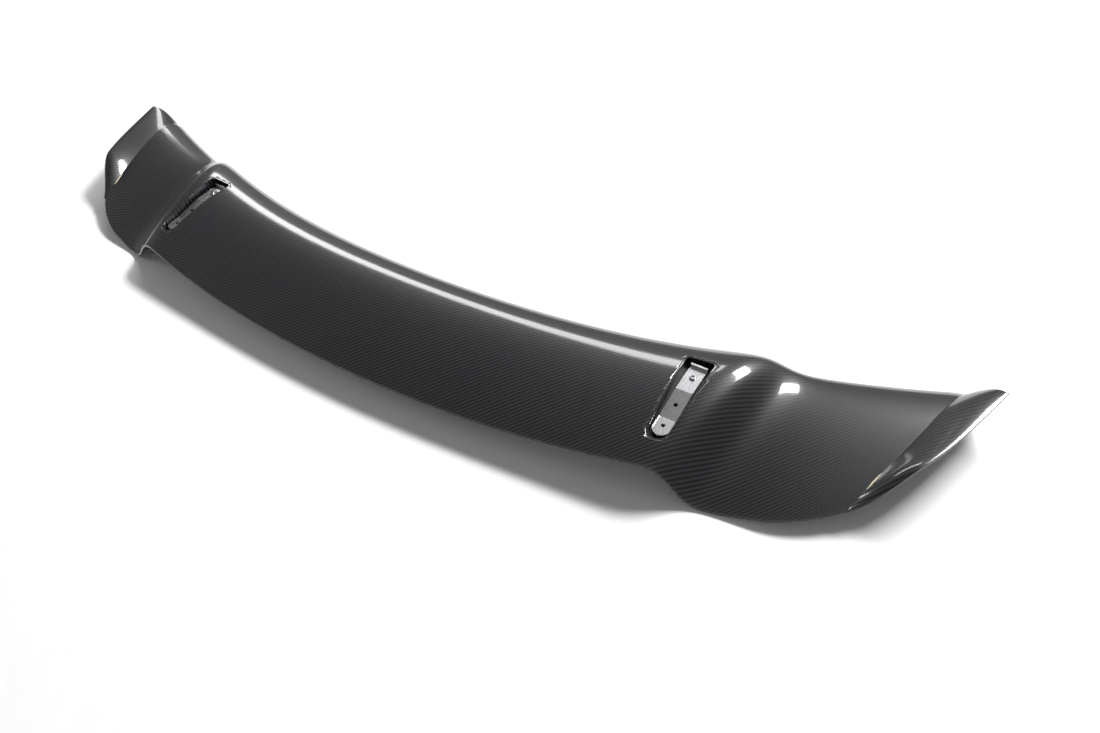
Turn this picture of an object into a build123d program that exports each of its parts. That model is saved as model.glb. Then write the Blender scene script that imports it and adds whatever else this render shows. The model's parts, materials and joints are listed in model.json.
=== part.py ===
from build123d import *
import os
from math import atan2, cos, hypot, pi, sin, sqrt, tanh

# Racing rear wing, modelled as it lies on a workshop floor: on its back, with the
# suction side and its two bracket pockets facing up. X runs along the span, the
# trailing edge is towards -Y, the leading edge towards +Y, and +Z is up. The origin
# is on the floor, under the middle of the wing. Millimetres.

os.makedirs("parts", exist_ok=True)

# ---- plan shape -------------------------------------------------------------
CHORD = 224.6            # chord on the centre line
BOW_REFERENCE = 500.0    # the distances below are reached this far from the centre
TRAILING_SWEEP = 50.0    # trailing edge bows back
LEADING_SWEEP = 60.0     # leading edge bows back a little more
STEP_TUCK = 12.0         # trailing edge moves out at the step
CORNER_START = 640.0     # the trailing edge starts to round into the tip
CORNER_REACH = 94.0
CORNER_DEPTH = 31.0
NOSE_CORNER_START = 785.0
NOSE_CORNER_REACH = 55.0
NOSE_CORNER_DEPTH = 23.0
DEPTH_MIDDLE = 188.7     # moves the plan so that the origin is in its middle

# ---- heights above the trailing edge's middle ---------------------------------
FLOOR_DROP = 38.2        # from that edge down to the floor
EDGE_RISE = 5.0          # trailing edge lifts outwards: linear and square terms
EDGE_RISE_SQUARE = 16.5
NOSE_FALL = 11.0
OUTER_EDGE = -33.0       # trailing edge outboard of the step
OUTER_EDGE_SLOPE = 0.16
OUTER_EDGE_FROM = 590.0
OUTER_NOSE = 15.2
NOSE_DROP = 7.2          # leading edge below the chord line
EDGE_THICKNESS = 5.0
STEP_AT_EDGE = 530.0     # middle of the step at the trailing edge
STEP_SKEW = 47.0         # how much farther out it is at the leading edge
STEP_WIDTH = 28.0
OUTER_CROWN = 0.8        # crown of the outer panels against the middle one
OUTER_BELLY = 1.2

# ---- upturned tips -------------------------------------------------------------
CREASE_FOOT = (731.0, 121.0)
CREASE_SLOPE = 0.30
TIP_WIDTH = 48.0
TIP_WIDTH_REACH = 74.0
TIP_RIM_FOOT = -9.0
TIP_RIM_RISE = 40.0
TIP_RIM_REACH = 82.0

# ---- laminate and structure ------------------------------------------------------
SKIN = 1.8
SPAR = 3.0
RIB = 4.0
BOND_GAP = 0.15
FRONT_SPAR = 0.15        # chord fractions measured from the leading edge
REAR_SPAR = 0.87

# ---- bracket pockets ---------------------------------------------------------------
POCKET_X = 485.0
POCKET_NEAR = 84.0
POCKET_FAR = 230.0
POCKET_NEAR_WIDTH = 33.0
POCKET_FAR_WIDTH = 47.0
POCKET_CORNER = 8.0
POCKET_FLOOR_NEAR = 14.0
POCKET_FLOOR_FAR = 25.0
TRAY_WALL = 2.0

# ---- brackets ------------------------------------------------------------------------
STRIP_WIDTH = 25.0
STRIP = 3.0
STRIP_START = 95.0
BEND_1 = 125.0
BEND_2 = 173.0
BEND_3 = 208.0
BEND_4 = 222.0
TAB_HEIGHT = 9.0
HOLE_1 = 112.0
HOLE_2 = 149.0
SCREW_Y = 199.0
HOLE_RADIUS = 3.0
SCREW_RADIUS = 2.5
SCREW_HEAD_RADIUS = 4.2
SCREW_HEAD = 2.4
SCREW_SOCKET = 2.9
INSERT_RADIUS = 4.0
INSERT_LENGTH = 7.0

NUT_RADIUS = 5.0
NUT_HEIGHT = 3.0         # room left for the nut under the near plate
NUT_THICKNESS = 2.2
FAR_PLATE_LIFT = 4.0
FOOT_LIFT = 0.2
SPACER_CLEAR = 0.4
SCREW_LENGTH = 14.0
BLOCK_SLACK = 4.0

# ---- where the inner pieces stand along the span -----------------------------------------
SPAR_END = 715.0
INNER_RIB = 453.0
POCKET_RIB = 517.0
OUTER_RIB = 620.0
EDGE_BEAD = 8.0          # width of the bead along the trailing edge
NOSE_BOND_FROM = 7.0
NOSE_BOND_TO = 4.5
INNER_GAP = 0.5          # bond line between the skins and what they hold
NOSE_W = 0.05            # curve parameter where the inner space ends at the nose
TIP_CORE_EDGE = 20.0     # the tips' foam stays this far from the edges
TIP_CLEAR = 1.6
TIP_CORE_END = 757.0
TRAY_BELOW = 0.0
WELL_ABOVE = 70.0

SECTION_POINTS = 9
MIDDLE_STATIONS = (0, 60, 120, 180, 240, 300, 350, 390, 420, 445, 470, 490, 505, 515, 525, 535,
                   545, 555, 565, 577, 590, 605, 620, 640, 660, 680, 700, 717, 734)
TIP_RIM_POINTS = (150, 162, 175, 190, 205, 222, 240, 260, 280, 300, 318, 345)


def bow(x):
    return (x / BOW_REFERENCE) ** 2


def step(x, u):
    """0 on the raised middle panel, 1 on the outer panels; u is 0 at the trailing edge."""
    return 0.5 * (1 + tanh((x - STEP_AT_EDGE - STEP_SKEW * u) / STEP_WIDTH))


def beyond(x, start, reach):
    return (max(0.0, x - start) / reach) ** 2


def trailing_y(x):
    x = abs(x)
    corner = CORNER_DEPTH * beyond(x, CORNER_START, CORNER_REACH)
    return TRAILING_SWEEP * bow(x) - STEP_TUCK * step(x, 0) + corner


def leading_y(x):
    x = abs(x)
    corner = NOSE_CORNER_DEPTH * beyond(x, NOSE_CORNER_START, NOSE_CORNER_REACH)
    return CHORD + LEADING_SWEEP * bow(x) - corner


def crease_x(y):
    return CREASE_FOOT[0] + CREASE_SLOPE * (y - CREASE_FOOT[1])


def tip_width(y):
    return TIP_WIDTH * tanh(max(y - CREASE_FOOT[1], 1.0) / TIP_WIDTH_REACH)


def rim_x(y):
    return crease_x(y) + tip_width(y)


def rim_z(y):
    t = min(max((y - CREASE_FOOT[1]) / TIP_RIM_REACH, 0.0), 1.0)
    return TIP_RIM_FOOT + TIP_RIM_RISE * t * t * (3 - 2 * t)


def rim_y(x):
    """The rim's place at a given x, by halving."""
    low, high = CREASE_FOOT[1], leading_y(x)
    for _ in range(40):
        middle = (low + high) / 2
        low, high = (middle, high) if rim_x(middle) < x else (low, middle)
    return low


def near_y(x):
    return trailing_y(x) if abs(x) <= CREASE_FOOT[0] else max(rim_y(abs(x)), trailing_y(x))


def surfaces(x, y):
    """Heights of the upper (visible) and lower faces at a place of the plan."""
    x = abs(x)
    v = min(max((leading_y(x) - y) / (leading_y(x) - trailing_y(x)), 0.0), 1.0)
    u = 1 - v
    outer = step(x, u)
    edge = (EDGE_RISE * bow(x) + EDGE_RISE_SQUARE * bow(x) ** 2) * (1 - outer)
    edge += (OUTER_EDGE + OUTER_EDGE_SLOPE * (x - OUTER_EDGE_FROM)) * outer
    nose = (EDGE_RISE_SQUARE * bow(x) ** 2 - NOSE_FALL * bow(x)) * (1 - outer)
    nose -= OUTER_NOSE * outer + NOSE_DROP
    crown = (137 * sqrt(v) - 123.2 * v - 13.8 * v * v) * (1 + (OUTER_CROWN - 1) * outer)
    belly = (45 * sqrt(v) - 69.8 * v + 24.8 * v * v) * (1 + (OUTER_BELLY - 1) * outer)
    top = edge * v + nose * u + crown
    bottom = (edge - EDGE_THICKNESS) * v + nose * u - belly
    q = min(max((x - crease_x(y)) / tip_width(y), 0.0), 1.0)
    top += (rim_z(y) - top) * sin(pi / 2 * q)
    bottom += (rim_z(y) - EDGE_THICKNESS - bottom) * (1 - cos(pi / 2 * q))
    return top, bottom


def chord_y(x, w):
    """Plan place of the curve parameter w: 1 at the near edge, 0 at the leading edge."""
    return leading_y(x) - (leading_y(x) - near_y(x)) * w * w


def face_curve(x, side, inset, nose_w=0.0):
    """Points of one face's section at x, from the near edge to the nose, moved inwards."""
    points = []
    for i in range(SECTION_POINTS):
        w = max(1 - i / (SECTION_POINTS - 1), nose_w)
        y = chord_y(x, w)
        z = surfaces(x, y)[side]
        dw = 1e-3
        y1, y2 = chord_y(x, min(w + dw, 1.0)), chord_y(x, max(w - dw, 0.0))
        dy, dz = y2 - y1, surfaces(x, y2)[side] - surfaces(x, y1)[side]
        length = hypot(dy, dz)
        turn = -1 if side == 0 else 1
        y_in = y - turn * inset * dz / length
        z_in = z + turn * inset * dy / length
        points.append((y_in - DEPTH_MIDDLE, z_in + FLOOR_DROP))
    return points


def inner_heights(x, y):
    """Heights between which the inside is free at a place of the plan."""
    top, bottom = surfaces(x, y)
    reach = 0.5
    top_slope = (surfaces(x, y + reach)[0] - surfaces(x, y - reach)[0]) / (2 * reach)
    bottom_slope = (surfaces(x, y + reach)[1] - surfaces(x, y - reach)[1]) / (2 * reach)
    top -= SKIN * hypot(1, top_slope) + BOND_GAP
    bottom += SKIN * hypot(1, bottom_slope) + BOND_GAP
    return top, bottom


def at(y, z):
    return (y - DEPTH_MIDDLE, z + FLOOR_DROP)


def front_spar_y(x):
    return leading_y(x) - FRONT_SPAR * (leading_y(x) - trailing_y(x))


def rear_spar_y(x):
    return leading_y(x) - REAR_SPAR * (leading_y(x) - trailing_y(x))


def tip_core_section(x):
    """Straight-sided section of a tip's foam, well inside the two skins."""
    near, far = near_y(x) + TIP_CORE_EDGE, leading_y(x) - TIP_CORE_EDGE
    places = [near + (far - near) * i / (SECTION_POINTS - 1) for i in range(SECTION_POINTS)]
    top = [at(y, inner_heights(x, y)[0] - TIP_CLEAR) for y in places]
    bottom = [at(y, inner_heights(x, y)[1] + TIP_CLEAR) for y in places]
    with BuildSketch(Plane.YZ.offset(x)) as section:
        Polygon(*top, *reversed(bottom), align=None)
    return section.sketch


def finish(part, name):
    part.label = name
    export_step(part, f"parts/{name}.step")


half = list(MIDDLE_STATIONS) + [rim_x(y) for y in TIP_RIM_POINTS]
STATIONS = [-x for x in reversed(half[1:])] + half

# ---- bracket pockets: where the skin is open -------------------------------------


def pocket_outline(inset):
    """Plan of a pocket: a round near end that widens to a far end with soft corners."""
    near = POCKET_NEAR_WIDTH / 2
    far = POCKET_FAR_WIDTH / 2
    centre = POCKET_NEAR + near
    with BuildSketch() as outline:
        with BuildLine():
            left = Line((-near, centre), (-far, POCKET_FAR))
            right = Line((near, centre), (far, POCKET_FAR))
            Line(left @ 1, right @ 1)
            ThreePointArc(left @ 0, (0, POCKET_NEAR), right @ 0)
        make_face()
        fillet(outline.vertices().group_by(Axis.Y)[-1], POCKET_CORNER)
        if inset:
            offset(amount=-inset)
    return outline.sketch


def pocket_prism(side, inset, low, high):
    """Upright prism over a pocket's plan, from the height low to the height high."""
    with BuildPart() as prism:
        plan = pocket_outline(inset).moved(Location((side * POCKET_X, -DEPTH_MIDDLE, low)))
        add(extrude(plan, amount=high - low, mode=Mode.PRIVATE))
    return prism.part


def pocket_floor(y):
    t = (y - POCKET_NEAR) / (POCKET_FAR - POCKET_NEAR)
    return POCKET_FLOOR_NEAR + (POCKET_FLOOR_FAR - POCKET_FLOOR_NEAR) * t


def floor_wedge(side, lower_by):
    """Everything above the sloping pocket floor, as a block around one pocket."""
    margin = 12.0
    y1, y2 = POCKET_NEAR - margin, POCKET_FAR + margin
    with BuildPart() as wedge:
        with BuildSketch(Plane.YZ.offset(side * POCKET_X)):
            Polygon(
                at(y1, pocket_floor(y1) - lower_by),
                at(y2, pocket_floor(y2) - lower_by),
                at(y2, WELL_ABOVE),
                at(y1, WELL_ABOVE),
                align=None,
            )
        extrude(amount=POCKET_FAR_WIDTH, both=True)
    return wedge.part


# ---- the two skins ------------------------------------------------------------------
for side_index, skin_name in ((0, "under_skin"), (1, "upper_skin")):
    with BuildPart() as skin:
        for x in STATIONS:
            with BuildSketch(Plane.YZ.offset(x)):
                with BuildLine():
                    outside = Spline(*face_curve(x, side_index, 0))
                    inside = Spline(*face_curve(x, side_index, SKIN))
                    Line(outside @ 0, inside @ 0)
                    Line(outside @ 1, inside @ 1)
                make_face()
        loft(ruled=True)
        if side_index == 0:
            for side in (-1, 1):
                add(pocket_prism(side, 0, 0, WELL_ABOVE + FLOOR_DROP), mode=Mode.SUBTRACT)
    finish(skin.part, skin_name)

# ---- the space between the skins, on the skins' own curves and stations -------------------
with BuildPart() as cavity:
    for x in MIDDLE_STATIONS:
        with BuildSketch(Plane.YZ.offset(x)):
            with BuildLine():
                roof = Spline(*face_curve(x, 0, SKIN + INNER_GAP, NOSE_W))
                base = Spline(*face_curve(x, 1, SKIN + INNER_GAP, NOSE_W))
                Line(roof @ 0, base @ 0)
                Line(roof @ 1, base @ 1)
            make_face()
    loft(ruled=True)


def band(y_from, y_to, x_from=0.0, x_to=SPAR_END):
    """Right half of the inner space between two plan curves and two places of the span."""
    with BuildPart() as piece:
        with BuildSketch(Plane.XY):
            with BuildLine():
                near = Spline(*[(x, y_from(x) - DEPTH_MIDDLE) for x in MIDDLE_STATIONS])
                far = Spline(*[(x, y_to(x) - DEPTH_MIDDLE) for x in MIDDLE_STATIONS])
                Line(near @ 0, far @ 0)
                Line(near @ 1, far @ 1)
            make_face()
        extrude(amount=WELL_ABOVE + FLOOR_DROP)
        with Locations(((x_from + x_to) / 2, 0, 0)):
            Box(x_to - x_from, 4 * CHORD, 4 * CHORD, mode=Mode.INTERSECT)
        add(cavity.part, mode=Mode.INTERSECT)
    return piece.part


def finish_across(right_half, name):
    """A piece that crosses the middle, from its right half."""
    with BuildPart() as whole:
        add(right_half)
        mirror(about=Plane.YZ)
    finish(whole.part, name)


def finish_pair(right_part, name):
    finish(right_part, f"{name}_right")
    finish(right_part.mirror(Plane.YZ), f"{name}_left")


def behind_front_spar(x):
    return front_spar_y(x) - BOND_GAP


def before_rear_spar(x):
    return rear_spar_y(x) + SPAR + BOND_GAP


def bead_y(x):
    return trailing_y(x) + EDGE_BEAD


# ---- spars, nose, and trailing edge: bands that run the whole span -------------------------
finish_across(band(front_spar_y, lambda x: front_spar_y(x) + SPAR), "front_spar")
finish_across(band(rear_spar_y, lambda x: rear_spar_y(x) + SPAR), "rear_spar")
finish_across(band(lambda x: front_spar_y(x) + SPAR + BOND_GAP,
                   lambda x: leading_y(x) - NOSE_BOND_FROM), "nose_core")
finish_across(band(lambda x: leading_y(x) - NOSE_BOND_FROM + BOND_GAP,
                   lambda x: leading_y(x) - NOSE_BOND_TO), "nose_bond")
finish_across(band(lambda x: bead_y(x) + BOND_GAP, lambda x: rear_spar_y(x) - BOND_GAP), "tail_core")
finish_across(band(lambda x: trailing_y(x) + BOND_GAP, bead_y), "edge_bond")

# ---- ribs, and the foam between them ---------------------------------------------------------
finish_across(band(before_rear_spar, behind_front_spar, 0.0, RIB / 2), "centre_rib")
for name, x in (("inner_rib", INNER_RIB), ("pocket_rib", POCKET_RIB), ("outer_rib", OUTER_RIB)):
    finish_pair(band(before_rear_spar, behind_front_spar, x - RIB / 2, x + RIB / 2), name)
for name, x_in, x_out in (("centre_core", 0, INNER_RIB), ("step_core", POCKET_RIB, OUTER_RIB),
                          ("outer_core", OUTER_RIB, SPAR_END + RIB / 2)):
    finish_pair(band(before_rear_spar, behind_front_spar, x_in + RIB / 2 + BOND_GAP,
                     x_out - RIB / 2 - BOND_GAP), name)

# ---- tips: foam in the bend ------------------------------------------------------------------
with BuildPart() as tip_core:
    loft([tip_core_section(x) for x in (SPAR_END + INNER_GAP, MIDDLE_STATIONS[-1], TIP_CORE_END)],
         ruled=True)
finish_pair(tip_core.part, "tip_core")

block_space = band(before_rear_spar, behind_front_spar, INNER_RIB + RIB / 2 + BOND_GAP,
                   POCKET_RIB - RIB / 2 - BOND_GAP)

# ---- pocket trays, and the blocks that carry them ---------------------------------------
for side, side_name in ((1, "right"), (-1, "left")):
    x_centre = side * POCKET_X
    reach = POCKET_FAR_WIDTH / 2 + 4
    with BuildPart() as tray:
        sections = []
        for i in range(-2, 3):
            x = x_centre + reach * i / 2
            ys = [POCKET_NEAR - 6 + (POCKET_FAR - POCKET_NEAR + 12) * j / 7 for j in range(8)]
            with BuildSketch(Plane.YZ.offset(x)) as cut:
                with BuildLine():
                    rim_line = Spline(*[at(y, surfaces(x, y)[0]) for y in ys])
                    below = Line(at(ys[0], TRAY_BELOW), at(ys[-1], TRAY_BELOW))
                    Line(rim_line @ 0, below @ 0)
                    Line(rim_line @ 1, below @ 1)
                make_face()
            sections.append(cut.sketch)
        loft(sections, ruled=True)
        add(pocket_prism(side, 0, 0, WELL_ABOVE + FLOOR_DROP), mode=Mode.INTERSECT)
        add(floor_wedge(side, TRAY_WALL), mode=Mode.INTERSECT)
        hollow = pocket_prism(side, TRAY_WALL, 0, WELL_ABOVE + FLOOR_DROP) & floor_wedge(side, 0)
        add(hollow, mode=Mode.SUBTRACT)
        with Locations((x_centre, *at(SCREW_Y, pocket_floor(SCREW_Y)))):
            Cylinder(SCREW_RADIUS, 4 * TRAY_WALL, mode=Mode.SUBTRACT)
    finish(tray.part, f"pocket_tray_{side_name}")

    with BuildPart() as block:
        add(block_space if side > 0 else block_space.mirror(Plane.YZ))
        room = pocket_prism(side, 0, 0, WELL_ABOVE + FLOOR_DROP) & floor_wedge(side, TRAY_WALL)
        add(room, mode=Mode.SUBTRACT)
        insert_top = pocket_floor(SCREW_Y) - TRAY_WALL
        with Locations((x_centre, *at(SCREW_Y, insert_top))):
            Cylinder(INSERT_RADIUS, 2 * INSERT_LENGTH + 2 * BLOCK_SLACK, mode=Mode.SUBTRACT)
    finish(block.part, f"mount_block_{side_name}")

# ---- brackets: joggled aluminium strips with an upright tab -------------------------------
NEAR_PLATE = pocket_floor(BEND_1) + NUT_HEIGHT
FAR_PLATE = pocket_floor(BEND_3) + FAR_PLATE_LIFT
FOOT = pocket_floor(BEND_4) + FOOT_LIFT
slope_angle = atan2(FAR_PLATE - NEAR_PLATE, BEND_2 - BEND_1)
hole_2_z = NEAR_PLATE + (HOLE_2 - BEND_1) * (FAR_PLATE - NEAR_PLATE) / (BEND_2 - BEND_1)
slope_normal = (0, -sin(slope_angle), cos(slope_angle))

for side, side_name in ((1, "right"), (-1, "left")):
    x_centre = side * POCKET_X
    with BuildPart() as bracket:
        with BuildSketch(Plane.YZ.offset(x_centre)):
            with BuildLine():
                lower = Polyline(
                    at(STRIP_START, NEAR_PLATE),
                    at(BEND_1, NEAR_PLATE),
                    at(BEND_2, FAR_PLATE),
                    at(BEND_3, FAR_PLATE),
                    at(BEND_4, FOOT),
                    at(BEND_4, FOOT + TAB_HEIGHT),
                )
                offset(amount=STRIP, side=Side.LEFT, kind=Kind.INTERSECTION)
            make_face()
        extrude(amount=STRIP_WIDTH / 2, both=True)
        fillet(bracket.edges().filter_by(Axis.Z).group_by(Axis.Y)[0], STRIP_WIDTH / 2 - 0.2)
        with Locations((x_centre, *at(HOLE_1, NEAR_PLATE))):
            Hole(HOLE_RADIUS)
        with Locations(Plane(origin=(x_centre, *at(HOLE_2, hole_2_z)), z_dir=slope_normal).location):
            Cylinder(HOLE_RADIUS, 4 * STRIP, mode=Mode.SUBTRACT)
        with Locations((x_centre, *at(SCREW_Y, FAR_PLATE))):
            Hole(SCREW_RADIUS)
    finish(bracket.part, f"bracket_{side_name}")

# ---- clinch nuts under the two open holes of each bracket ---------------------------------
with BuildPart() as clinch_nuts:
    for side in (1, -1):
        nut_planes = (
            Plane(origin=(side * POCKET_X, *at(HOLE_1, NEAR_PLATE)), z_dir=(0, 0, 1)),
            Plane(origin=(side * POCKET_X, *at(HOLE_2, hole_2_z)), z_dir=slope_normal),
        )
        for plane in nut_planes:
            with BuildSketch(plane):
                Circle(NUT_RADIUS)
                Circle(HOLE_RADIUS, mode=Mode.SUBTRACT)
            extrude(amount=-NUT_THICKNESS)
finish(clinch_nuts.part, "clinch_nuts")

# ---- bracket screws, their spacers and their inserts -----------------------------------
with BuildPart() as bracket_screws:
    for side in (1, -1):
        seat = (side * POCKET_X, *at(SCREW_Y, FAR_PLATE + STRIP))
        with BuildSketch(Plane.XY.move(Location(seat))):
            Circle(SCREW_HEAD_RADIUS)
        extrude(amount=SCREW_HEAD)
        with BuildSketch(Plane.XY.move(Location(seat)).offset(SCREW_HEAD)):
            RegularPolygon(SCREW_SOCKET, 6)
        extrude(amount=-SCREW_HEAD / 2, mode=Mode.SUBTRACT)
        with BuildSketch(Plane.XY.move(Location(seat))):
            Circle(SCREW_RADIUS - BOND_GAP)
        extrude(amount=-SCREW_LENGTH)
    heads = bracket_screws.edges().filter_by(GeomType.CIRCLE)
    fillet([e for e in heads if abs(e.radius - SCREW_HEAD_RADIUS) < 0.01
            and e.center().Z > at(0, FAR_PLATE + STRIP)[1] + SCREW_HEAD / 2], SCREW_HEAD / 3)
finish(bracket_screws.part, "bracket_screws")

with BuildPart() as screw_spacers:
    for side in (1, -1):
        low = pocket_floor(SCREW_Y) + SPACER_CLEAR
        with BuildSketch(Plane.XY.move(Location((side * POCKET_X, *at(SCREW_Y, low))))):
            Circle(INSERT_RADIUS)
            Circle(SCREW_RADIUS, mode=Mode.SUBTRACT)
        extrude(amount=FAR_PLATE - low)
finish(screw_spacers.part, "screw_spacers")

with BuildPart() as screw_inserts:
    for side in (1, -1):
        mouth = pocket_floor(SCREW_Y) - TRAY_WALL - SPACER_CLEAR
        with BuildSketch(Plane.XY.move(Location((side * POCKET_X, *at(SCREW_Y, mouth))))):
            Circle(INSERT_RADIUS - BOND_GAP)
            Circle(SCREW_RADIUS, mode=Mode.SUBTRACT)
        extrude(amount=-INSERT_LENGTH)
finish(screw_inserts.part, "screw_inserts")
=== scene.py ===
# %% [markdown]
# A racing rear wing, lying on its back
#
# The wing is a hollow carbon shell: two thin skins bonded around foam, webs and blocks.
# The imported model gives every piece its place, so we load that first.

# %% Load the imported model
import json
from math import cos, pi, sin, sqrt, tanh

import bmesh
import bpy
from mathutils import Matrix, Vector


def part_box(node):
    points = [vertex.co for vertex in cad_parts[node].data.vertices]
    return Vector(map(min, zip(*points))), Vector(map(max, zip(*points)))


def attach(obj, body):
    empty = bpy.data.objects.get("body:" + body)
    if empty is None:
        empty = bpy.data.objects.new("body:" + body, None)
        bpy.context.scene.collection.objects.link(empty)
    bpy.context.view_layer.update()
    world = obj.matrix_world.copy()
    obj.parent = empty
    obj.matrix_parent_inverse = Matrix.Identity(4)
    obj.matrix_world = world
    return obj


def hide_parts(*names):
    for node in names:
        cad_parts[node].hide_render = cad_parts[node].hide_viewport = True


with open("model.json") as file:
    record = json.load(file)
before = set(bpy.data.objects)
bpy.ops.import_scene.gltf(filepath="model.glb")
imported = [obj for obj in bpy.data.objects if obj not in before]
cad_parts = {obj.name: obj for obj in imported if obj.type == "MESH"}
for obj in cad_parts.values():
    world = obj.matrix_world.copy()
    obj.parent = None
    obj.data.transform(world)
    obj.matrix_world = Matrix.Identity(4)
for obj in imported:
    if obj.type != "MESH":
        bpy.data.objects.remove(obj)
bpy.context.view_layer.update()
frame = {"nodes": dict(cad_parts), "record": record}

MM = 0.001
nodes = frame["nodes"]
print("pieces from the packed model:", len(nodes))

# %% [markdown]
# Where the surface lies
#
# A wing skin is pulled from a smooth mould, so one formula can give its height at any
# place of its plan. A glossy surface shows every facet, which is why we evaluate that
# formula on a fine grid and don't show the coarser packed skins. Lengths are in
# millimetres here, and x is the distance from the middle of the span. The plain numbers
# in the formulas set the amounts of bow, flare, crown and belly.

# %% Plan of the wing
MIDDLE = 188.7           # from the trailing edge's middle to the origin
DROP = 38.2              # from the same point down to the floor
EDGE = 5.0               # thickness of the trailing edge and of the tips' rim
CREASE_X, CREASE_Y = 731.0, 121.0
TIP_WIDTH = 48.0         # of the upturned tip, from the crease to the rim
STEP_X = 530             # where the wing steps down to its outer panel
STEP_SLANT = 47          # how much farther out the step lies at the leading edge
STEP_LENGTH = 28         # how gently it steps


def bow(x):
    return (x / 500) ** 2


def step(x, u):
    return 0.5 * (1 + tanh((x - STEP_X - STEP_SLANT * u) / STEP_LENGTH))


def trailing_y(x):
    return 50 * bow(x) - 12 * step(x, 0) + 31 * (max(0, x - 640) / 94) ** 2


def leading_y(x):
    return 224.6 + 60 * bow(x) - 23 * (max(0, x - 785) / 55) ** 2


def crease_x(y):
    return CREASE_X + 0.30 * (y - CREASE_Y)


def tip_width(y):
    return TIP_WIDTH * tanh(max(y - CREASE_Y, 1) / 74)


def rim_z(y):
    t = min(max((y - CREASE_Y) / 82, 0), 1)
    return -9 + 40 * t * t * (3 - 2 * t)


# %% Heights of the two faces
def surfaces(x, y, q):
    """Heights of the suction face and the pressure face; q runs from the crease to the rim."""
    lead, trail = leading_y(x), trailing_y(x)
    v = min(max((lead - y) / (lead - trail), 0), 1)
    u = 1 - v
    outer = step(x, u)
    edge = (5 * bow(x) + 16.5 * bow(x) ** 2) * (1 - outer) + (-33 + 0.16 * (x - 590)) * outer
    nose = (16.5 * bow(x) ** 2 - 11 * bow(x)) * (1 - outer) - 15.2 * outer - 7.2
    crown = (137 * sqrt(v) - 123.2 * v - 13.8 * v * v) * (1 - 0.2 * outer)
    belly = (45 * sqrt(v) - 69.8 * v + 24.8 * v * v) * (1 + 0.2 * outer)
    top = edge * v + nose * u + crown
    bottom = (edge - EDGE) * v + nose * u - belly
    top += (rim_z(y) - top) * sin(pi / 2 * q)
    bottom += (rim_z(y) - EDGE - bottom) * (1 - cos(pi / 2 * q))
    return top, bottom


# %% [markdown]
# The two skins
#
# Each skin starts as a flat grid. Its columns follow the span and then the fold of the
# tip, so that the crease falls on one line of edges. Two columns close beside it give
# the crease its small radius, which is what catches a thin line of light. The rows
# crowd towards the leading edge, where the surface turns fastest. The last few rows and
# columns roll over the edge to half its thickness, where the two skins meet.

# %% Grid layout
SPAN_COLUMNS = 150       # from the middle to the crease
TIP_COLUMNS = 16         # from the crease to the rim
CHORD_ROWS = 64
ROLL = (0.0, 0.25, 0.5, 0.75, 1.0)   # steps of the rounded edge
ROLL_OUT = 1.0           # how far the edge bulges
ROLL_SQUARE = 0.4        # below 1 the edge is flatter with tighter corners
NOSE_ROUND = 0.1         # share of the rows that round the nose of the tip
NOSE_FADE = 0.2          # share of the fold over which that rounding grows
CREASE_RADIUS = 1.0
SKIN = 1.8
TRAILING_SPAN = (-20, 200)   # y values between which each edge is looked for
LEADING_SPAN = (150, 420)
HALVINGS = 40
half_columns = SPAN_COLUMNS + TIP_COLUMNS + len(ROLL) - 1
rows = CHORD_ROWS + len(ROLL) - 1


def meet(curve, place, low, high):
    """The y where curve(place(y)) equals y, by halving."""
    for _ in range(HALVINGS):
        middle = (low + high) / 2
        low, high = (middle, high) if curve(place(middle)) > middle else (low, middle)
    return low


def column(c):
    """Plan place as a function of y, fold parameter, and near and far ends of a column."""
    if c <= SPAN_COLUMNS:
        share, q = c / SPAN_COLUMNS, 0.0
        if c == SPAN_COLUMNS - 1:
            share = 1 - CREASE_RADIUS / CREASE_X
        place = lambda y: share * crease_x(y)
        near = meet(trailing_y, place, *TRAILING_SPAN)
    else:
        q = min((c - SPAN_COLUMNS) / TIP_COLUMNS, 1.0)
        if c == SPAN_COLUMNS + 1:
            q = CREASE_RADIUS / TIP_WIDTH
        place = lambda y: crease_x(y) + q * tip_width(y)
        near = meet(trailing_y, crease_x, *TRAILING_SPAN)
    return place, q, near, meet(leading_y, place, *LEADING_SPAN)


def skin_grid(side):
    """Coordinates of one skin as a dictionary from column and row to a place in mm."""
    places = {}
    for c in range(half_columns + 1):
        place, q, near, far = column(c)
        roll_c = ROLL[max(c - SPAN_COLUMNS - TIP_COLUMNS, 0)]
        for r in range(rows + 1):
            roll_r = ROLL[max(r - CHORD_ROWS, 0)]
            w = min(r / CHORD_ROWS, 1)
            y = far - (far - near) * w * w
            x = place(y)
            top, bottom = surfaces(x, y, q)
            middle, half = (top + bottom) / 2, (top - bottom) / 2
            near_nose = 1 - sqrt(1 - (1 - min(w / NOSE_ROUND, 1)) ** 2)
            half *= 1 - min(q / NOSE_FADE, 1) * near_nose
            angle = max(roll_c, roll_r) * pi / 2
            half *= max(cos(angle), 0) ** ROLL_SQUARE
            out = ROLL_OUT * sin(angle) ** ROLL_SQUARE
            if roll_r >= roll_c:
                y -= out if roll_r else 0
            else:
                x += out
            z = middle + side * half
            places[c, r] = (x, y - MIDDLE, z + DROP)
    return places


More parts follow.
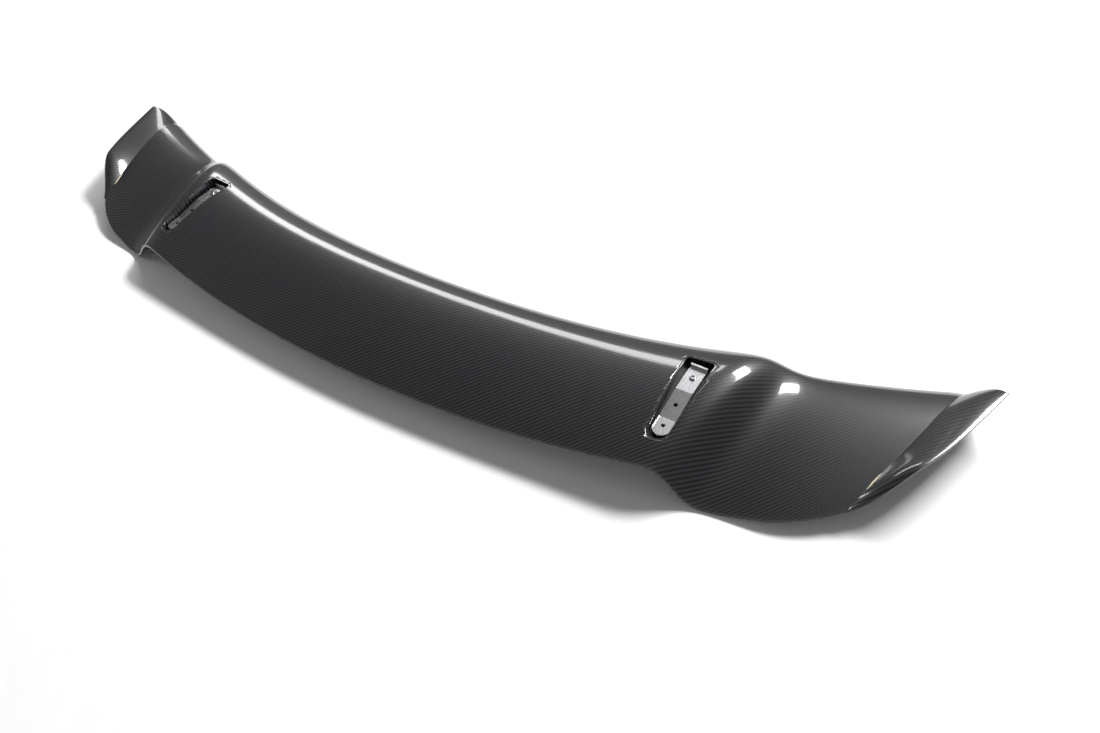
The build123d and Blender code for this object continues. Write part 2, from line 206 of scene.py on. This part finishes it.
# %% Make the skins
def lengths(places):
    """Distance along the cloth at each grid point: across the span, and along the chord."""
    across, along = {}, {}
    for (c, r), p in places.items():
        before = places.get((c - 1, r), p)
        gap = sqrt((p[0] - before[0]) ** 2 + (p[2] - before[2]) ** 2)
        across[c, r] = across.get((c - 1, r), 0) + gap
    for c in range(half_columns + 1):
        total = 0
        for r in range(rows, -1, -1):
            p, before = places[c, r], places[c, min(r + 1, rows)]
            total += sqrt((p[1] - before[1]) ** 2 + (p[2] - before[2]) ** 2)
            along[c, r] = total
    return across, along


def finished_mesh(bm, name):
    """Turns a bmesh into a mesh, and frees it."""
    mesh = bpy.data.meshes.new(name)
    bm.to_mesh(mesh)
    bm.free()
    return mesh


def add_object(name, data):
    made = bpy.data.objects.new(name, data)
    bpy.context.scene.collection.objects.link(made)
    return made


def make_skin(name, side):
    places = skin_grid(side)
    across, along = lengths(places)
    bm = bmesh.new()
    bmesh.ops.create_grid(bm, x_segments=2 * half_columns, y_segments=rows, size=1)
    uv = bm.loops.layers.uv.new("weave")
    cell = {}
    for vertex in bm.verts:
        c = round(vertex.co.x * half_columns)
        cell[vertex] = (c, round((vertex.co.y + 1) / 2 * rows))
    for face in bm.faces:
        for loop in face.loops:
            c, r = cell[loop.vert]
            sign = 1 if c >= 0 else -1
            loop[uv].uv = (sign * across[abs(c), r] * MM, along[abs(c), r] * MM)
    for vertex, (c, r) in cell.items():
        x, y, z = places[abs(c), r]
        vertex.co = Vector((x if c >= 0 else -x, y, z)) * MM
    for face in bm.faces:
        face.smooth = True
    bmesh.ops.remove_doubles(bm, verts=bm.verts, dist=1e-6)
    bmesh.ops.recalc_face_normals(bm, faces=bm.faces)
    centre_face = min(bm.faces, key=lambda f: f.calc_center_median().xy.length)
    if centre_face.normal.z * side < 0:
        bmesh.ops.reverse_faces(bm, faces=bm.faces)
    mesh = finished_mesh(bm, name)
    piece = add_object(name, mesh)
    wall = piece.modifiers.new("laminate", "SOLIDIFY")
    wall.thickness = SKIN * MM
    wall.offset = -1
    print(name, "faces:", len(mesh.polygons))
    return piece


suction_skin = make_skin("suction_skin", 1)
pressure_skin = make_skin("pressure_skin", -1)

# %% [markdown]
# Cutting the bracket pockets
#
# The real openings are trimmed in the cured skin, and a moulded tray is bonded in. We
# cut the same keyhole plan with an upright prism, read from the box of each packed tray,
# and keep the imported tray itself. The cut is a hair wider than the tray, which leaves
# the fine joint line that a bonded tray has.

# %% Prism for a cut
JOINT_LINE = 0.15 * MM
NEAR_WIDTH = 33.0 * MM
FAR_WIDTH = 47.0 * MM
CORNER = 6.4 * MM
PRISM_START = 8.0 * MM   # above the tray's lowest point
PRISM_HEIGHT = 0.1


def pocket_cutter(node):
    low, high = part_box(node)
    middle = (low.x + high.x) / 2
    far_half = FAR_WIDTH / 2 + JOINT_LINE
    near_half = NEAR_WIDTH / 2 + JOINT_LINE
    y_near, y_far = low.y + NEAR_WIDTH / 2, high.y + JOINT_LINE
    bm = bmesh.new()
    bmesh.ops.create_circle(bm, cap_ends=False, segments=64, radius=near_half)
    bmesh.ops.delete(bm, geom=[v for v in bm.verts if v.co.y > 1e-6], context="VERTS")
    ends = sorted((v for v in bm.verts if abs(v.co.y) < 1e-5), key=lambda v: v.co.x)
    extruded = bmesh.ops.extrude_vert_indiv(bm, verts=[ends[0], ends[-1]])["verts"]
    for vertex in extruded:
        vertex.co = (far_half if vertex.co.x > 0 else -far_half, y_far - y_near, 0)
    bm.edges.new(extruded)
    bmesh.ops.bevel(bm, geom=extruded, offset=CORNER, segments=8, profile=0.5,
                    affect="VERTICES", material=-1)
    face = bmesh.ops.contextual_create(bm, geom=bm.edges)["faces"]
    up = bmesh.ops.extrude_face_region(bm, geom=face)["geom"]
    raised = [part for part in up if isinstance(part, bmesh.types.BMVert)]
    bmesh.ops.translate(bm, vec=(0, 0, PRISM_HEIGHT), verts=raised)
    bmesh.ops.translate(bm, vec=(middle, y_near, low.z + PRISM_START), verts=bm.verts)
    bmesh.ops.recalc_face_normals(bm, faces=bm.faces)
    return add_object("cutter", finished_mesh(bm, "cutter"))


# %% Cut both pockets
cutters = [pocket_cutter("pocket_tray_" + side) for side in ("left", "right")]
for cutter in cutters:
    cut = suction_skin.modifiers.new("pocket", "BOOLEAN")
    cut.operation = "DIFFERENCE"
    cut.object = cutter
    cut.solver = "EXACT"
evaluated = suction_skin.evaluated_get(bpy.context.evaluated_depsgraph_get())
cut_mesh = bpy.data.meshes.new_from_object(evaluated)
suction_skin.modifiers.clear()
suction_skin.data = cut_mesh
for cutter in cutters:
    bpy.data.objects.remove(cutter)
print("suction skin after the cuts:", len(cut_mesh.polygons), "faces")

# %% [markdown]
# Materials
#
# Each finish starts from the real material. One function turns the hex colours to
# linear, and one adds a node with its settings and links.

# %% Helpers
def linear(code):
    channels = [int(code[i:i + 2], 16) / 255 for i in (1, 3, 5)]
    decoded = [c / 12.92 if c <= 0.04045 else ((c + 0.055) / 1.055) ** 2.4 for c in channels]
    return (*decoded, 1.0)


def node(material, kind, settings=None, **links):
    """Adds a node. settings are its properties; links fill its inputs by name or number."""
    tree = material.node_tree
    made = tree.nodes.new(kind)
    for key, value in (settings or {}).items():
        setattr(made, key, value)
    for key, value in links.items():
        socket = made.inputs[int(key[1:]) if key[1:].isdigit() else key.replace("_", " ")]
        if isinstance(value, bpy.types.NodeSocket):
            tree.links.new(value, socket)
        else:
            socket.default_value = value
    return made


def new_material(name):
    material = bpy.data.materials.new(name)
    material.use_nodes = True
    return material, material.node_tree.nodes["Principled BSDF"]


def math_node(material, operation, first, second=0.0):
    made = node(material, "ShaderNodeMath", {"operation": operation}, i0=first, i1=second)
    return made.outputs[0]


# %% [markdown]
# Clear-coated twill carbon
#
# A 2x2 twill passes each tow over two and under two, one tow farther along each row, and
# that draws the diagonal ribs. The tows are dark fibre under a thick polished lacquer.
# The soft light ribs are painted sheen: the tows on top take a lighter colour, which
# stands in for the light the fibre reflects along its length. The lacquer gives the sharp
# highlights. So the relief is in the base alone, and the coat above it stays smooth.

# %% Twill carbon
TOW = 2.0 * MM           # one tow
REPEAT = 4.0             # tows in one repeat of the twill
TOP_LIMIT = 1.5          # splits each repeat into two tows on top and two below
LACQUER_IOR = 1.5


def twill(name, use_uv):
    material, shader = new_material(name)
    coordinates = node(material, "ShaderNodeTexCoord")
    if use_uv:
        source = node(material, "ShaderNodeUVMap", {"uv_map": "weave"}).outputs["UV"]
    else:
        source = coordinates.outputs["Object"]
    scaled = node(material, "ShaderNodeMapping", Vector=source,
                  Scale=(1 / TOW, 1 / TOW, 1 / TOW))
    axes = node(material, "ShaderNodeSeparateXYZ", Vector=scaled.outputs[0])
    across, along = axes.outputs["X"], axes.outputs["Y"]
    cells = math_node(material, "SUBTRACT", math_node(material, "FLOOR", across),
                      math_node(material, "FLOOR", along))
    place = math_node(material, "FLOORED_MODULO", cells, REPEAT)
    on_top = math_node(material, "LESS_THAN", place, TOP_LIMIT)
    heights = []
    for axis in (along, across):
        part = math_node(material, "FRACT", axis)
        rest = math_node(material, "SUBTRACT", 1.0, part)
        # Four times part * rest is a bulge that is 0 at the tow's sides and 1 along its middle.
        bulge = math_node(material, "MULTIPLY", part, rest)
        heights.append(math_node(material, "MULTIPLY", bulge, 4.0))
    relief = node(material, "ShaderNodeMix", {"data_type": "FLOAT"},
                  i0=on_top, i2=heights[1], i3=heights[0])
    noise = node(material, "ShaderNodeTexNoise", Vector=coordinates.outputs["Object"],
                 Scale=9.0, Detail=2.0)
    # Painted sheen: the tows on top take the lighter colour, which stands in for the light that
    # the fibre reflects along its length.
    painted_tow_sheen = node(material, "ShaderNodeMix", {"data_type": "RGBA"}, i0=on_top,
                i6=linear("#040405"), i7=linear("#2c2c30"))
    uneven = node(material, "ShaderNodeMix", {"data_type": "RGBA", "blend_type": "MULTIPLY"},
                  i0=0.25, i6=painted_tow_sheen.outputs[2], i7=noise.outputs["Color"])
    bump = node(material, "ShaderNodeBump", Strength=0.35, Distance=0.1 * MM,
                Height=relief.outputs[0])
    links = material.node_tree.links
    links.new(uneven.outputs[2], shader.inputs["Base Color"])
    links.new(bump.outputs[0], shader.inputs["Normal"])
    shader.inputs["Roughness"].default_value = 0.42
    shader.inputs["IOR"].default_value = LACQUER_IOR
    shader.inputs["Specular IOR Level"].default_value = 0.3
    shader.inputs["Coat Weight"].default_value = 1.0
    shader.inputs["Coat Roughness"].default_value = 0.11
    shader.inputs["Coat IOR"].default_value = LACQUER_IOR
    return material


carbon_skin = twill("clear_coated_twill_carbon", True)
carbon_tray = twill("clear_coated_twill_carbon_tray", False)

# %% [markdown]
# Metals and hidden materials
#
# The brackets are brushed aluminium, whose fine lines run along the strip. The screws
# are zinc-plated steel. The rest belongs inside the wing, and each keeps the grain of
# what it is, for anyone who takes the skins off.

# %% Grained finishes
def grained(name, dark, light, stretch, roughness, metallic, relief):
    """A material whose colour, sheen and relief come from one stretched noise."""
    material, shader = new_material(name)
    coordinates = node(material, "ShaderNodeTexCoord")
    scaled = node(material, "ShaderNodeMapping", Vector=coordinates.outputs["Object"],
                  Scale=stretch)
    noise = node(material, "ShaderNodeTexNoise", Vector=scaled.outputs[0],
                 Scale=1.0, Detail=4.0)
    colour = node(material, "ShaderNodeMix", {"data_type": "RGBA"}, i0=noise.outputs[0],
                  i6=linear(dark), i7=linear(light))
    rough = node(material, "ShaderNodeMapRange", i0=noise.outputs[0],
                 i3=roughness * 0.8, i4=roughness * 1.2)
    bump = node(material, "ShaderNodeBump", Strength=0.3, Distance=relief,
                Height=noise.outputs[0])
    links = material.node_tree.links
    links.new(colour.outputs[2], shader.inputs["Base Color"])
    links.new(rough.outputs[0], shader.inputs["Roughness"])
    links.new(bump.outputs[0], shader.inputs["Normal"])
    shader.inputs["Metallic"].default_value = metallic
    if not metallic:
        shader.inputs["IOR"].default_value = 1.5
    return material


finishes = {
    # Scratches about 0.3 mm apart, drawn coarser than real ones so that they show.
    "bracket_aluminium": grained("brushed_aluminium", "#b9babd", "#eeeeef", (3000, 90, 3000),
                                 roughness=0.26, metallic=1.0, relief=0.01 * MM),
    "fastener_steel": grained("zinc_plated_steel", "#8b8d90", "#c4c6c8", (700, 700, 700),
                              roughness=0.33, metallic=1.0, relief=0.01 * MM),
    "insert_brass": grained("turned_brass", "#9c7a35", "#d3ad5c", (300, 300, 3000),
                            roughness=0.3, metallic=1.0, relief=0.01 * MM),
    # Cell size of a structural foam is under a millimetre.
    "foam_core": grained("sanded_foam", "#b5ab88", "#e2d9b8", (1500, 1500, 1500),
                         roughness=0.9, metallic=0.0, relief=0.15 * MM),
    "adhesive": grained("cured_adhesive", "#232326", "#3c3c40", (200, 200, 200),
                        roughness=0.55, metallic=0.0, relief=0.05 * MM),
    "block_laminate": grained("machined_glass_laminate", "#6b5527", "#9c8350", (900, 120, 4000),
                              roughness=0.5, metallic=0.0, relief=0.05 * MM),
    "carbon_web": grained("bare_carbon_laminate", "#151517", "#2f2f33", (500, 500, 500),
                          roughness=0.55, metallic=0.0, relief=0.05 * MM),
    "carbon_gloss": carbon_tray,
}

# %% [markdown]
# Putting the pieces together
#
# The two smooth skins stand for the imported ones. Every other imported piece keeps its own
# shape and takes the finish that its record names.

# %% Assign and attach
for piece, packed in ((suction_skin, "under_skin"), (pressure_skin, "upper_skin")):
    piece.data.materials.clear()
    piece.data.materials.append(carbon_skin)
    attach(piece, "root")
    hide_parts(packed)

slot_of = {part["node"]: part["material_slot"] for part in frame["record"]["subparts"]}
for name, packed in nodes.items():
    finish = finishes[slot_of[name]]
    if not packed.material_slots:
        packed.data.materials.append(finish)
    for slot in packed.material_slots:
        slot.material = finish
print("finished pieces:", len(nodes))

# %% [markdown]
# Studio
#
# A black lacquer shows its lights more than its colour. A long soft strip behind the
# leading edge draws the bright line along the ridge. A stronger key light, higher and
# farther back, lights the floor and casts the shadows. Two dim ones lift the near edge
# and the left tip. The floor is nearly white.

# %% Floor and lights
def area_light(name, place, target, size, power):
    light = bpy.data.lights.new(name, "AREA")
    light.shape = "RECTANGLE"
    light.size, light.size_y = size
    light.energy = power
    lamp = add_object(name, light)
    aim = (Vector(target) - Vector(place)).to_track_quat("-Z", "Y")
    lamp.matrix_world = Matrix.Translation(Vector(place)) @ aim.to_matrix().to_4x4()


bm = bmesh.new()
bmesh.ops.create_grid(bm, x_segments=8, y_segments=8, size=12)
floor = add_object("floor", finished_mesh(bm, "floor"))
floor.data.materials.append(grained("white_paper", "#f4f4f4", "#fafafa", (30, 30, 30),
                                    roughness=0.9, metallic=0.0, relief=0.01 * MM))

area_light("ridge_strip", place=(-1.85, 2.3, 1.9), target=(-1.85, 0.15, 0),
           size=(3.0, 0.45), power=46)
area_light("key_behind", place=(1.5, 3.2, 3.4), target=(0, -0.2, 0),
           size=(2.0, 0.8), power=330)
area_light("front_fill", place=(1.3, -2.6, 0.9), target=(0, 0, 0),
           size=(2.4, 0.5), power=10)
area_light("tip_left", place=(-2.6, -0.6, 1.0), target=(-0.8, 0.1, 0.05),
           size=(0.8, 0.4), power=6)

world = bpy.data.worlds.new("studio")
bpy.context.scene.world = world
world.use_nodes = True
background = world.node_tree.nodes["Background"]
background.inputs["Color"].default_value = (1, 1, 1, 1)
background.inputs["Strength"].default_value = 0.17

# %% [markdown]
# Camera
#
# It stands to the right, above the trailing edge, and leans a little, so the span runs
# from the upper left to the lower right.

# %% Camera
CAMERA_PLACE = (0.7983, -0.7100, 0.9446)
camera_data = bpy.data.cameras.new("camera")
camera_data.sensor_width = 36
camera_data.lens = 27.82
camera = add_object("camera", camera_data)
right = Vector((0.8415, 0.5336, -0.0845))
forward = Vector((-0.4159, 0.5402, -0.7316)).normalized()
right = (right - right.dot(forward) * forward).normalized()
up = right.cross(forward)
turn = Matrix((right, up, -forward)).transposed().to_4x4()
camera.matrix_world = Matrix.Translation(CAMERA_PLACE) @ turn
bpy.context.scene.camera = camera

bpy.context.scene.view_settings.view_transform = "Standard"
